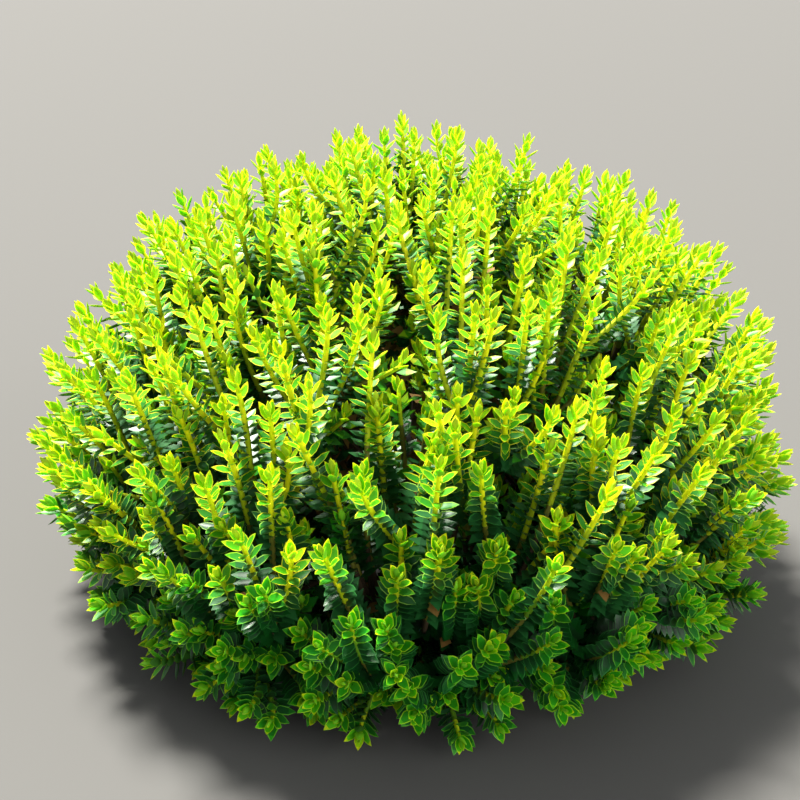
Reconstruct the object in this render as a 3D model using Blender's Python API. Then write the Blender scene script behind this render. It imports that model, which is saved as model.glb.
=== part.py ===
"""Hebe shrub: a low, dense dome of leafy shoots on a short rooted stem. Metres, +Z up.

The root crown forks at one point into boughs, and each bough carries one mass of foliage:
a stem, a dense core, and shoots that stand out of it with pairs of thick leaves. The masses
share the dome out by direction from the fork. Each keeps to the directions that lie nearer
to its own axis than to any other, so its space is a cone with flat walls.
"""

import math
import random

import bmesh
import bpy
from mathutils import Matrix, Vector

# The dome that the tips of the shoots reach: an upper and a lower half ellipsoid
DOME_RADIUS = 0.258
DOME_TOP = 0.321
WIDEST_HEIGHT = 0.105
LOWER_HALF_DEPTH = 0.200
LONGEST_SHOOT = 1.035
SHORTEST_SHOOT = 0.955

# The short rooted stem, from its flat cut on the ground to the knot where it forks
FORK = Vector((0.0, 0.0, 0.042))
FOOT_LEAN = Vector((0.003, 0.002, 0.0))
KNOT_RADIUS = 0.021
KNOT_TOP = 0.985
NECK_RADIUS = 0.0135
FLARE_RADIUS = 0.025
FLARE_HEIGHT = 0.006
FLARE_LOBES = 5
FLARE_LOBE_DEPTH = 0.003
JOIN_SHARPNESS = 8
CROWN_SIDES = 14
CROWN_RINGS = 11

# Rings of masses: name, how many, elevation of their axes, azimuth of the first
RINGS = (
    ("low", 9, math.radians(12), math.radians(-90)),
    ("mid", 6, math.radians(46), math.radians(-70)),
    ("top", 1, math.radians(88), math.radians(20)),
)
AXIS_JITTER = math.radians(3)

# The boughs and the stems that run on from them
TOUCH_GAP = 0.0003
BOUGH_REACH = 0.105
BOUGH_BASE_RADIUS = 0.0050
BOUGH_BASE_SPREAD = 0.1
BOUGH_TIP_RADIUS = 0.0034
BOUGH_SAG = 0.006
BOUGH_STOPS = (0.0, 0.2, 0.6, 1.0)
BOUGH_SIDES = 6
STEM_END = 0.66
STEM_TIP_RADIUS = 0.0022

# The dense core of a mass, as a share of the way from the fork to the dome
CORE_OUTER = 0.74
CORE_START_GAP = 0.005
CORE_ROUGHNESS = 0.10

# The shoots: they leave the stem between two shares of its length, widest ones first
SHOOTS = 140
LOWEST_SHOOT = math.radians(-3)
FIRST_ROOT, LAST_ROOT = 0.25, 0.90
SHOOT_RADIUS = 0.0027
SHOOT_BEND = 0.55
SHOOT_KNEE = 0.60
SHOOT_SAG = 0.020
TIP_TO_WALL = 0.017
DRAW_IN_STEPS = 20
BUD_LENGTH = 0.010
BUD_RADIUS = 0.0042
POINT_RADIUS = 0.000005

# The leaves, larger than life because they are fewer. A pair is placed by its distance
# below the tip, and opens from the twig by an angle.
LEAF_LENGTH = 0.031
LEAF_WIDTH = 0.0150
LEAF_THICKNESS = 0.0024
LEAF_SUNK = 0.0011
LEAF_JITTER = 0.08
LEAF_PAIRS = ((0.019, math.radians(36)), (0.044, math.radians(60)))

# Clearances
WALL_GAP = 0.0006
GROUND_GAP = 0.004
WELD = 0.00002
HALVINGS = 26
SHARP_ANGLE = math.radians(40)

BARK = ((0.155, 0.105, 0.062), 0.85)
GREEN = ((0.115, 0.290, 0.045), 0.45)
UP = Vector((0.0, 0.0, 1.0))
GOLDEN_ANGLE = math.pi * (3 - math.sqrt(5))


def toward(azimuth, elevation):
    """The unit vector at this azimuth and elevation."""
    flat = math.cos(elevation)
    return Vector((flat * math.cos(azimuth), flat * math.sin(azimuth), math.sin(elevation)))


def dome_reach(direction):
    """The distance from the fork to the dome along a direction, by halving."""
    near, far = 0.0, 2 * DOME_TOP
    for _ in range(HALVINGS):
        middle = (near + far) / 2
        point = FORK + middle * direction
        above = point.z - WIDEST_HEIGHT
        depth = DOME_TOP - WIDEST_HEIGHT if above > 0 else LOWER_HALF_DEPTH
        level = math.hypot(point.x, point.y) / DOME_RADIUS
        if level**2 + (above / depth) ** 2 < 1:
            near = middle
        else:
            far = middle
    return near


def mass_axes(rng):
    """The name and axis of each mass, ring by ring, a little off the even places."""
    axes = {}
    for ring, count, elevation, first in RINGS:
        for k in range(count):
            name = f"{ring}_{k + 1}" if count > 1 else ring
            azimuth = first + k * 2 * math.pi / count + AXIS_JITTER * rng.uniform(-1, 1)
            axes[name] = toward(azimuth, elevation + AXIS_JITTER * rng.uniform(-0.5, 0.5))
    return axes


def walls_of(name, axes):
    """The inward normals of the flat walls, all through the fork, of a mass's cone."""
    own = axes[name]
    return [(own - other).normalized() for key, other in axes.items() if key != name]


def room(point, walls):
    """How far a point is inside its mass's walls."""
    return min(wall.dot(point - FORK) for wall in walls)


def fits(points, walls):
    """True if a convex shape with these corners is clear of the walls and the ground."""
    return all(p.z > GROUND_GAP and room(p, walls) > WALL_GAP for p in points)


def along(start, bend, end, t):
    """A point of the quadratic curve from start to end that bend pulls at."""
    return (1 - t) ** 2 * start + 2 * t * (1 - t) * bend + t**2 * end


def heading(start, bend, end, t):
    """The direction of that curve at the same place."""
    return ((1 - t) * (bend - start) + t * (end - bend)).normalized()


def polygon(sides):
    """A closed curve of unit radius, the cross-section of a limb."""
    curve = bpy.data.curves.new(f"section_{sides}", "CURVE")
    spline = curve.splines.new("POLY")
    spline.points.add(sides - 1)
    spline.use_cyclic_u = True
    for k, point in enumerate(spline.points):
        angle = k * 2 * math.pi / sides
        point.co = (math.cos(angle), math.sin(angle), 0, 1)
    return bpy.data.objects.new(curve.name, curve)


def add_object(name, mesh, collection):
    """A new object that holds this bmesh with its faces turned outwards."""
    bmesh.ops.recalc_face_normals(mesh, faces=mesh.faces)
    data = bpy.data.meshes.new(name)
    mesh.to_mesh(data)
    mesh.free()
    made = bpy.data.objects.new(name, data)
    collection.objects.link(made)
    return made


def limb(name, points, radii, section, collection):
    """One tapering limb along the points, made a mesh with its caps welded on."""
    curve = bpy.data.curves.new(name, "CURVE")
    curve.dimensions = "3D"
    curve.bevel_mode = "OBJECT"
    curve.bevel_object = section
    curve.use_fill_caps = True
    spline = curve.splines.new("POLY")
    spline.points.add(len(points) - 1)
    for point, centre, radius in zip(spline.points, points, radii):
        point.co = (*centre, 1)
        point.radius = radius
    guide = bpy.data.objects.new(name, curve)
    collection.objects.link(guide)
    graph = bpy.context.evaluated_depsgraph_get()
    data = bpy.data.meshes.new_from_object(guide.evaluated_get(graph))
    mesh = bmesh.new()
    mesh.from_mesh(data)
    bmesh.ops.remove_doubles(mesh, verts=mesh.verts, dist=WELD)
    bpy.data.meshes.remove(data)
    bpy.data.objects.remove(guide)
    bpy.data.curves.remove(curve)
    return add_object(name, mesh, collection)


def leaf(base, direction, across, collection):
    """One leaf: a six-faced spindle, flat above and keeled below, widest at its middle."""
    mesh = bmesh.new()
    bmesh.ops.create_uvsphere(mesh, u_segments=3, v_segments=2, radius=1)
    size = (LEAF_THICKNESS * 2 / 3, LEAF_WIDTH / math.sqrt(3), LEAF_LENGTH / 2)
    bmesh.ops.scale(mesh, vec=size, verts=mesh.verts)
    turn = Matrix((across.cross(direction), across, direction)).transposed().to_4x4()
    centre = base + (LEAF_LENGTH / 2 - LEAF_SUNK) * direction
    bmesh.ops.transform(mesh, matrix=Matrix.Translation(centre) @ turn, verts=mesh.verts)
    return add_object("leaf", mesh, collection)


def core(axis, walls, rng, collection):
    """The dense heart of a mass, pushed out from its middle to the walls and the inner dome."""
    start = BOUGH_REACH + CORE_START_GAP
    end = CORE_OUTER * dome_reach(axis)
    middle = FORK + (start + end) / 2 * axis
    mesh = bmesh.new()
    bmesh.ops.create_icosphere(mesh, subdivisions=2, radius=1)
    for vert in mesh.verts:
        ray = vert.co.normalized()
        low, high = 0.0, 2 * end
        for _ in range(HALVINGS):
            half = (low + high) / 2
            point = middle + half * ray
            out = point - FORK
            inner = CORE_OUTER * dome_reach(out.normalized())
            if out.dot(axis) > start and out.length < inner and fits([point], walls):
                low = half
            else:
                high = half
        vert.co = middle + low * (1 - CORE_ROUGHNESS * rng.random()) * ray
    return add_object("core", mesh, collection)


def shoot_directions(axes):
    """Even directions over the dome, on a golden-angle spiral, dealt to the nearest axis."""
    dealt = {name: [] for name in axes}
    low = math.sin(LOWEST_SHOOT)
    for k in range(SHOOTS):
        height = low + (1 - low) * (k + 0.5) / SHOOTS
        way = toward(k * GOLDEN_ANGLE, math.asin(height))
        nearest = max(axes, key=lambda name: axes[name].dot(way))
        dealt[nearest].append(way)
    return dealt


def shoot_tip(way, axis, walls, rng):
    """The tip of a shoot, drawn in towards its mass's axis until it is clear of the walls."""
    share = rng.uniform(SHORTEST_SHOOT, LONGEST_SHOOT)
    for k in range(DRAW_IN_STEPS):
        near = way.lerp(axis, k / DRAW_IN_STEPS).normalized()
        tip = FORK + share * dome_reach(near) * near
        if room(tip, walls) > TIP_TO_WALL:
            break
    return tip


def shoot_curve(tip, axis, walls):
    """The root, bend and tip of a shoot: it leaves the stem, dips outwards and turns up."""
    ahead = (tip - FORK).normalized()
    share = max(FIRST_ROOT, LAST_ROOT - ahead.angle(axis))
    root = FORK + (BOUGH_REACH + share * (STEM_END * dome_reach(axis) - BOUGH_REACH)) * axis
    bend = root.lerp(tip, SHOOT_BEND)
    sagged = bend - SHOOT_SAG * math.hypot(ahead.x, ahead.y) * UP
    return root, sagged if fits([sagged], walls) else bend, tip


def shoot(curve, walls, rng, section, collection):
    """One shoot: a three-sided twig that ends in a bud, with pairs of leaves crosswise."""
    root, bend, tip = curve
    length = (bend - root).length + (tip - bend).length
    points = [along(*curve, t) for t in (0.0, SHOOT_KNEE, 1 - BUD_LENGTH / length, 1.0)]
    if not fits(points, walls):
        return
    radii = (SHOOT_RADIUS, SHOOT_RADIUS, BUD_RADIUS, POINT_RADIUS)
    limb("twig", points, radii, section, collection)
    phase = rng.uniform(0, math.pi)
    for k, (below, opening) in enumerate(LEAF_PAIRS):
        t = 1 - below / length
        base = along(*curve, t)
        line = heading(*curve, t)
        side = line.orthogonal().normalized()
        side.rotate(Matrix.Rotation(phase + k * math.pi / 2, 3, line))
        for out in (side, -side):
            spread = opening * rng.uniform(1 - LEAF_JITTER, 1 + LEAF_JITTER)
            ahead = math.cos(spread) * line + math.sin(spread) * out
            made = leaf(base, ahead, line.cross(out), collection)
            if not fits([vert.co for vert in made.data.vertices], walls):
                bpy.data.objects.remove(made)


def outer_shell(mesh):
    """Deletes all but the largest closed surface, which fills hollows and drops scraps."""
    left = set(mesh.verts)
    shells = []
    while left:
        frontier = [left.pop()]
        shell = set(frontier)
        while frontier:
            vert = frontier.pop()
            for link in vert.link_edges:
                other = link.other_vert(vert)
                if other in left:
                    left.remove(other)
                    shell.add(other)
                    frontier.append(other)
        shells.append(shell)
    shells.sort(key=len)
    for shell in shells[:-1]:
        bmesh.ops.delete(mesh, geom=list(shell), context="VERTS")


def fused(name, body, others, collection):
    """One closed solid out of the body and every object of the other collection."""
    union = body.modifiers.new("union", "BOOLEAN")
    union.operation = "UNION"
    union.operand_type = "COLLECTION"
    union.collection = others
    union.solver = "MANIFOLD"
    graph = bpy.context.evaluated_depsgraph_get()
    data = bpy.data.meshes.new_from_object(body.evaluated_get(graph))
    mesh = bmesh.new()
    mesh.from_mesh(data)
    outer_shell(mesh)
    bpy.data.meshes.remove(data)
    for piece in [body, *others.objects]:
        bpy.data.meshes.remove(piece.data)
    bpy.data.collections.remove(others)
    return add_object(name, mesh, collection)


def finish(piece, colour, roughness):
    """The object's own material, and smooth shading where its faces meet gently."""
    material = bpy.data.materials.new(piece.name)
    material.use_nodes = True
    shader = material.node_tree.nodes["Principled BSDF"]
    shader.inputs["Base Color"].default_value = (*colour, 1)
    shader.inputs["Roughness"].default_value = roughness
    piece.data.materials.clear()
    piece.data.materials.append(material)
    piece.data.shade_smooth()
    piece.data.set_sharp_from_angle(angle=SHARP_ANGLE)


def crown_radius(height):
    """The neck of the rooted stem, widening to the flare below and into the knot above."""
    neck = NECK_RADIUS + (FLARE_RADIUS - NECK_RADIUS) * math.exp(-height / FLARE_HEIGHT)
    rise = (height - FORK.z) / KNOT_RADIUS
    knot = KNOT_RADIUS * math.sqrt(max(0.0, 1 - rise**2))
    if height > FORK.z:
        return knot
    return (neck**JOIN_SHARPNESS + knot**JOIN_SHARPNESS) ** (1 / JOIN_SHARPNESS)


def root_crown(collection):
    """The rooted stem: root flare with lobes, narrow neck, and the knot where it forks."""
    mesh = bmesh.new()
    rings = []
    top = FORK.z + KNOT_TOP * KNOT_RADIUS
    for k in range(CROWN_RINGS + 1):
        height = top * math.sin(k / CROWN_RINGS * math.pi / 2)
        low = max(0.0, 1 - height / FORK.z)
        circle = bmesh.ops.create_circle(mesh, segments=CROWN_SIDES, radius=1)["verts"]
        for vert in circle:
            angle = math.atan2(vert.co.y, vert.co.x)
            radius = crown_radius(height) + FLARE_LOBE_DEPTH * low**2 * math.cos(FLARE_LOBES * angle)
            vert.co = radius * toward(angle, 0) + height * UP + low * FOOT_LEAN
        rings.append(list(mesh.edges)[-CROWN_SIDES:])
    for lower, upper in zip(rings, rings[1:]):
        bmesh.ops.bridge_loops(mesh, edges=lower + upper)
    bmesh.ops.holes_fill(mesh, edges=rings[0] + rings[-1], sides=CROWN_SIDES)
    return add_object("root_crown", mesh, collection)


def bough(name, axis, rng, section, collection):
    """One main bough, from the knot to the foot of its mass, bowed down a little on its way."""
    start = FORK + (KNOT_RADIUS + TOUCH_GAP) * axis
    end = FORK + BOUGH_REACH * axis
    bend = start.lerp(end, 0.5) - BOUGH_SAG * math.hypot(axis.x, axis.y) * UP
    base = BOUGH_BASE_RADIUS * rng.uniform(1 - BOUGH_BASE_SPREAD, 1 + BOUGH_BASE_SPREAD)
    points = [along(start, bend, end, t) for t in BOUGH_STOPS]
    radii = [base + (BOUGH_TIP_RADIUS - base) * t for t in BOUGH_STOPS]
    return limb(name, points, radii, section, collection)


def foliage(name, axis, walls, ways, rng, sections, collection):
    """One mass of foliage: its stem, core and shoots, fused."""
    loose = bpy.data.collections.new("loose")
    bpy.context.scene.collection.children.link(loose)
    start = FORK + (BOUGH_REACH + TOUCH_GAP) * axis
    end = FORK + STEM_END * dome_reach(axis) * axis
    radii = (BOUGH_TIP_RADIUS, STEM_TIP_RADIUS)
    stem = limb("stem", (start, end), radii, sections["bough"], collection)
    core(axis, walls, rng, loose)
    for way in ways:
        curve = shoot_curve(shoot_tip(way, axis, walls, rng), axis, walls)
        shoot(curve, walls, rng, sections["twig"], loose)
    return fused(name, stem, loose, collection)


def main():
    for old in list(bpy.data.objects):
        bpy.data.objects.remove(old)
    shrub = bpy.data.collections.new("hebe_shrub")
    bpy.context.scene.collection.children.link(shrub)
    sections = {"bough": polygon(BOUGH_SIDES), "twig": polygon(3)}
    finish(root_crown(shrub), *BARK)
    axes = mass_axes(random.Random(0))
    ways = shoot_directions(axes)
    for seed, (name, axis) in enumerate(axes.items(), start=1):
        rng = random.Random(seed)
        walls = walls_of(name, axes)
        finish(bough(f"bough_{name}", axis, rng, sections["bough"], shrub), *BARK)
        mass = foliage(f"foliage_{name}", axis, walls, ways[name], rng, sections, shrub)
        finish(mass, *GREEN)


main()
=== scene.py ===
import math
import random

import bpy
import numpy as np
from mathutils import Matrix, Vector


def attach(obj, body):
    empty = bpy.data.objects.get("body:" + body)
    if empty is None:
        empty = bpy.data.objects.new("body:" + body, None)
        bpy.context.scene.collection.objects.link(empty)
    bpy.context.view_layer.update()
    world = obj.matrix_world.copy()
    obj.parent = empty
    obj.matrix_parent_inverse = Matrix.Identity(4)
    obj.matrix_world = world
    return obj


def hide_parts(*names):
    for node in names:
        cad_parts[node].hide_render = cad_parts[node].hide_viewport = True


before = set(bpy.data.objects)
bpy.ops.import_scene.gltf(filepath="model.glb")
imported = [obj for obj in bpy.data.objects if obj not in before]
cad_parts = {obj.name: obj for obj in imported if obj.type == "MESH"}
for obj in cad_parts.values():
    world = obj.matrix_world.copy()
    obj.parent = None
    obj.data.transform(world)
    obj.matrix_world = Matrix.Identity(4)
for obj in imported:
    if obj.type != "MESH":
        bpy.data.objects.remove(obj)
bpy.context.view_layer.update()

up = np.array([0.0, 0.0, 1.0])
goldenAngle = math.pi * (3 - math.sqrt(5))

# The rule that the crown grows by, as in the part: the tips reach a dome, and the directions
# from the fork to it are shared out among the masses of foliage.
crown = {
    "fork": np.array([0.0, 0.0, 0.042]),
    "domeRadius": 0.258,
    "domeTop": 0.321,
    "widestHeight": 0.105,
    "lowerHalfDepth": 0.200,
    # each ring's name, how many masses it has, its elevation and its first azimuth, in degrees
    "rings": (("low", 9, 12, -90), ("mid", 6, 46, -70), ("top", 1, 88, 20)),
    "axisJitter": 3,  # degrees, and half of it in elevation
    "axisSeed": 0,
    "boughReach": 0.105,
    "boughRadii": (0.0050, 0.0034),
    "boughSag": 0.006,
    "knotRadius": 0.021,
    "stemEnd": 0.66,  # the share of the way to the dome that a mass's stem ends at
    "branches": 140,
    "lowestBranch": -3,
    # A branch leaves the stem at the last root less the angle between them, or at the first root,
    # as shares of the stem. Its bend lies at a share of the way to its tip.
    "firstRoot": 0.25,
    "lastRoot": 0.90,
    "branchBend": 0.55,
    "branchSag": 0.020,
    "halvings": 26,  # steps that find the dome along a direction
}
nearlyUpright = 0.92  # a heading whose rise is more than this


# each vector over its own length
def unit(vectors):
    return vectors / np.linalg.norm(vectors, axis=-1, keepdims=True)


# the direction at an azimuth and an elevation: cosines of both lie flat, the sine is the rise
def toward(azimuth, elevation):
    flat = np.cos(elevation)
    return np.stack([flat * np.cos(azimuth), flat * np.sin(azimuth), np.sin(elevation)], axis=-1)


# Distance from the fork to the dome along each direction, by halving: a point is inside where
# its radius over the dome's and its height over the half's depth, squared, add up to under one.
def domeReach(ways):
    near = np.zeros(len(ways))
    far = np.full(len(ways), 2 * crown["domeTop"])
    for _ in range(crown["halvings"]):
        middle = (near + far) / 2
        point = crown["fork"] + middle[:, None] * ways
        above = point[:, 2] - crown["widestHeight"]
        upperDepth = crown["domeTop"] - crown["widestHeight"]
        depth = np.where(above > 0, upperDepth, crown["lowerHalfDepth"])
        level = np.hypot(point[:, 0], point[:, 1]) / crown["domeRadius"]
        inside = level**2 + (above / depth) ** 2 < 1
        near = np.where(inside, middle, near)
        far = np.where(inside, far, middle)
    return near


# even directions on a golden-angle spiral, from the lowest elevation up to the pole
def spiralWays(count, lowest):
    low = math.sin(math.radians(lowest))
    k = np.arange(count)
    return toward(k * goldenAngle, np.arcsin(low + (1 - low) * (k + 0.5) / count))


# the axes of the masses: even azimuths round each ring at its elevation, both shaken a little
def massAxes():
    dice = random.Random(crown["axisSeed"])
    names, axes = [], []
    for ring, count, elevation, first in crown["rings"]:
        for k in range(count):
            turn = math.radians(first + k * 360 / count + crown["axisJitter"] * dice.uniform(-1, 1))
            rise = math.radians(elevation + crown["axisJitter"] * dice.uniform(-0.5, 0.5))
            names.append(f"{ring}_{k + 1}" if count > 1 else ring)
            axes.append(toward(turn, rise))
    return names, np.array(axes)


# a quadratic curve from start to end that bend pulls at, and its direction, at t
def quadratic(start, bend, end, t):
    t = t[:, None]
    point = (1 - t) ** 2 * start + 2 * t * (1 - t) * bend + t**2 * end
    return point, unit((1 - t) * (bend - start) + t * (end - bend))


massNames, axes = massAxes()
axisReach = domeReach(axes)


# One branch for each shoot of the part: it leaves the mass's stem, dips outwards and turns up.
def growBranches():
    ways = spiralWays(crown["branches"], crown["lowestBranch"])
    mass = np.argmax(ways @ axes.T, axis=1)
    tip = crown["fork"] + domeReach(ways)[:, None] * ways
    spread = np.arccos(np.clip(np.sum(ways * axes[mass], axis=1), -1, 1))
    share = np.maximum(crown["firstRoot"], crown["lastRoot"] - spread)
    run = crown["boughReach"] + share * (crown["stemEnd"] * axisReach[mass] - crown["boughReach"])
    root = crown["fork"] + run[:, None] * axes[mass]
    sag = crown["branchSag"] * np.hypot(ways[:, 0], ways[:, 1])
    bend = root + crown["branchBend"] * (tip - root) - sag[:, None] * up
    return {"mass": mass, "root": root, "bend": bend, "tip": tip}


branches = growBranches()
print("branches:", len(branches["mass"]))


# points and directions on branches, a row for each of the chosen, at these shares of their length
def alongBranches(t, chosen=slice(None)):
    corners = (np.repeat(branches[key][chosen], t.shape[1], axis=0) for key in ("root", "bend", "tip"))
    point, ahead = quadratic(*corners, t.ravel())
    return point.reshape(*t.shape, 3), ahead.reshape(*t.shape, 3)


# The shoots fork off the branches, reach the dome and turn up towards the light. The outer ones
# make the crown's face, the inner ones stand in their shade, and the deep ones are old twigs.
shootRule = {
    # how many, the lowest elevation, the share of the way to the dome, and the length
    "outer": {"count": 800, "lowest": -8, "reach": (0.93, 1.055), "length": (0.080, 0.100)},
    "inner": {"count": 760, "lowest": -4, "reach": (0.64, 0.92), "length": (0.045, 0.065)},
    "deep": {"count": 520, "lowest": -6, "reach": (0.34, 0.64), "length": (0.030, 0.050)},
    "seeds": (11, 12, 13, 31),  # of the three kinds, and of the old wood
    "forks": np.linspace(0.0, 0.80, 33),  # places on a branch where a shoot may fork off
    "extraLengths": (0.0, 0.012, 0.024, 0.036, 0.050, 0.065),  # longer where that meets a branch
    "extraCost": 0.15,
    "wander": 0.035,  # how far the tips stray from their even spiral
    "flatter": 0.030,  # how much lower than the dome the crown's top stays
    # how steeply a shoot stands, by the elevation of its tip as seen from the fork, in degrees
    "elevations": (-10, 5, 14, 24, 35, 50, 90),
    "steepInFront": (16, 38, 52, 64, 73, 82, 90),
    "steepAtSides": (8, 21, 34, 46, 57, 69, 90),
    "steepBehind": 0.6,  # how far the back is like the front
    "unevenness": 0.09,
    "startPull": 0.30,  # the first share of a shoot goes between its branch's way and its own
    "ownWay": 2,  # how much more its own counts there
    "straightEnd": 0.060,
    "straightShare": 0.5,  # but no more than this share of its length is straight
    "samples": 49,  # points of a shoot's curve
    "lowestPoint": 0.012,
    # tips above the first height stand in the sun, below the second in shade, and both heights
    # are raised so far on the side away from the sun. The shade also picks darker tints for leaves
    # and stems: painted shade, along with the deeper green of shade-grown growth
    "shadeHeights": (0.140, 0.020),
    "shadeInFront": 0.065,
    "shadeSpread": 0.12,
    "vigour": (0.9, 1.1),
    "leastOldWood": 0.3,  # the share of a branch that holds old leaves where nothing forks off
}


# The place on a branch where each shoot forks off, and the branch's way there: the nearest one
# to where the shoot comes to by growing straight back, at the best of a few lengths.
def nearestForks(tip, heading, length):
    t = np.tile(shootRule["forks"], (crown["branches"], 1))
    places, ways = (each.reshape(-1, 3) for each in alongBranches(t))
    least = np.full(len(tip), np.inf)
    found = np.zeros(len(tip), int)
    for extra in shootRule["extraLengths"]:
        start = tip - (length + extra) * heading
        gaps = np.linalg.norm(start[:, None] - places[None], axis=2)
        gaps = gaps + shootRule["extraCost"] * extra
        nearest = np.argmin(gaps, axis=1)
        found = np.where(gaps.min(axis=1) < least, nearest, found)
        least = np.minimum(gaps.min(axis=1), least)
    return found // len(shootRule["forks"]), t.ravel()[found], places[found], ways[found]


# how far along its curve each point lies: the lengths of the steps up to it, added up
def runOf(curve):
    step = np.linalg.norm(np.diff(curve, axis=1), axis=2)
    return np.concatenate([np.zeros((len(curve), 1)), np.cumsum(step, axis=1)], axis=1)


# Shoots of one kind. A tip lies a share of the way to the dome, on a spiral of directions, and
# its heading is as steep as its place asks for. From the fork the shoot is a cubic curve whose
# two middle corners lie ahead of its root and straight behind its tip.
def growShoots(kind, rank):
    rule = shootRule
    dice = np.random.default_rng(rule["seeds"][rank])
    count = kind["count"]
    ways = unit(spiralWays(count, kind["lowest"]) + rule["wander"] * dice.normal(size=(count, 3)))
    reach = dice.uniform(*kind["reach"], count) * (1 - rule["flatter"] * ways[:, 2] ** 2)
    tip = crown["fork"] + (reach * domeReach(ways))[:, None] * ways
    elevation = np.degrees(np.arcsin(ways[:, 2]))
    forward = -ways[:, 1] / np.hypot(ways[:, 0], ways[:, 1])
    facing = forward**2 * np.where(forward > 0, 1, rule["steepBehind"])
    steep = (1 - facing) * np.interp(elevation, rule["elevations"], rule["steepAtSides"])
    steep = steep + facing * np.interp(elevation, rule["elevations"], rule["steepInFront"])
    heading = toward(np.arctan2(ways[:, 1], ways[:, 0]), np.radians(steep))
    heading = unit(heading + rule["unevenness"] * dice.normal(size=(count, 3)))
    asked = dice.uniform(*kind["length"], (count, 1))
    branch, forkAt, root, leaving = nearestForks(tip, heading, asked)
    length = np.linalg.norm(tip - root, axis=1)[:, None]
    first = root + rule["startPull"] * length * unit(leaving + rule["ownWay"] * heading)
    second = tip - np.minimum(rule["straightEnd"], rule["straightShare"] * length) * heading
    for corner in (first, second, tip):
        corner[:, 2] = np.maximum(corner[:, 2], rule["lowestPoint"])
    t = np.linspace(1, 0, rule["samples"])[None, :, None]  # from the tip back to the root
    curve = (
        (1 - t) ** 3 * root[:, None]
        + 3 * t * (1 - t) ** 2 * first[:, None]
        + 3 * t**2 * (1 - t) * second[:, None]
        + t**3 * tip[:, None]
    )
    sunny, shady = rule["shadeHeights"]
    raised = rule["shadeInFront"] * forward * np.abs(forward)
    shade = (sunny + raised - tip[:, 2]) / (sunny - shady)
    return {
        "mass": branches["mass"][branch],
        "branch": branch,
        "forkAt": forkAt,
        "curve": curve,
        "distance": runOf(curve),
        "shade": np.clip(shade + rule["shadeSpread"] * dice.normal(size=count), 0, 1),
        "phase": dice.uniform(0, math.pi, count),
        "vigour": dice.uniform(*rule["vigour"], count),
        "rank": np.full(count, rank),
    }


# Old wood that still holds some leaves: the branches themselves, from their last fork back.
def oldWood(shoots):
    rule = shootRule
    rank = len(kinds)
    dice = np.random.default_rng(rule["seeds"][rank])
    count = crown["branches"]
    ends = np.full(count, rule["leastOldWood"])
    np.maximum.at(ends, shoots["branch"], shoots["forkAt"])
    curve = alongBranches(np.linspace(1, 0, rule["samples"])[None] * ends[:, None])[0]
    return {
        "mass": branches["mass"],
        "branch": np.arange(count),
        "forkAt": ends,
        "curve": curve,
        "distance": runOf(curve),
        "shade": np.ones(count),
        "phase": dice.uniform(0, math.pi, count),
        "vigour": dice.uniform(*rule["vigour"], count),
        "rank": np.full(count, rank),
    }


# dictionaries of arrays, end to end
def joined(parts):
    return {key: np.concatenate([part[key] for part in parts]) for key in parts[0]}


kinds = ("outer", "inner", "deep")
shoots = joined([growShoots(shootRule[kind], rank) for rank, kind in enumerate(kinds)])
shoots = joined([shoots, oldWood(shoots)])
meanLength = round(float(shoots["distance"][:, -1].mean()), 3)
print("shoots:", len(shoots["mass"]), "mean length", meanLength)


# places and directions on the shoots at these distances from their tips, row by row
def alongShoots(distances):
    places = np.empty(distances.shape + (3,))
    ahead = np.empty_like(places)
    tangent = -np.gradient(shoots["curve"], axis=1)
    for k, asked in enumerate(distances):
        for axis in range(3):
            known = shoots["distance"][k]
            places[k, :, axis] = np.interp(asked, known, shoots["curve"][k, :, axis])
            ahead[k, :, axis] = np.interp(asked, known, tangent[k, :, axis])
    return places, unit(ahead)


# Two directions across each heading that turn smoothly along a shoot: the cross product with up,
# or with the x axis where the shoot's foot is nearly upright, and the one square to both.
def crossFrame(ahead):
    aside = np.where(np.abs(ahead[..., 2:3]) < nearlyUpright, up, np.array([1.0, 0.0, 0.0]))
    aside = np.broadcast_to(aside[:, -1:, :], ahead.shape)
    first = unit(np.cross(ahead, aside))
    return first, np.cross(ahead, first)


class Socket:
    # wraps an output so that shader maths reads as Python
    def __init__(self, tree, link):
        self.tree, self.link = tree, link

    def math(self, operation, other, swap=False):
        node = self.tree.nodes.new("ShaderNodeMath")
        node.operation = operation
        for slot, value in enumerate((other, self) if swap else (self, other)):
            plug(self.tree, node.inputs[slot], value)
        return Socket(self.tree, node.outputs[0])

    def __add__(self, other):
        return self.math("ADD", other)

    def __mul__(self, other):
        return self.math("MULTIPLY", other)

    def __rsub__(self, other):
        return self.math("SUBTRACT", other, swap=True)

    __rmul__ = __mul__


# a link or a plain value into a socket
def plug(tree, target, value):
    if isinstance(value, Socket):
        tree.links.new(value.link, target)
    else:
        target.default_value = value


class Surface:
    # one material with a Principled shader
    def __init__(self, name, **values):
        self.material = bpy.data.materials.new(name)
        self.material.use_nodes = True
        self.tree = self.material.node_tree
        self.shader = self.tree.nodes["Principled BSDF"]
        self.set(**values)

    # the shader's sockets by their names in camelCase, so that baseColor sets Base Color
    def set(self, **values):
        for name, value in values.items():
            words = "".join(" " + c if c.isupper() else c for c in name).title()
            plug(self.tree, self.shader.inputs[words.replace(" Ior", " IOR")], value)

    # any other node: its settings first, a ramp's stops among them, then its sockets
    def node(self, kind, output=0, settings=None, stops=(), **inputs):
        made = self.tree.nodes.new("ShaderNode" + kind)
        for key, value in (settings or {}).items():
            setattr(made, key, value)
        for _ in stops[2:]:  # a new ramp has two
            made.color_ramp.elements.new(0.5)
        for k, (place, colour) in enumerate(stops):
            made.color_ramp.elements[k].position = place
            made.color_ramp.elements[k].color = (*colour, 1)
        for key, value in inputs.items():
            plug(self.tree, made.inputs[key], value)
        return Socket(self.tree, made.outputs[output])


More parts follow.
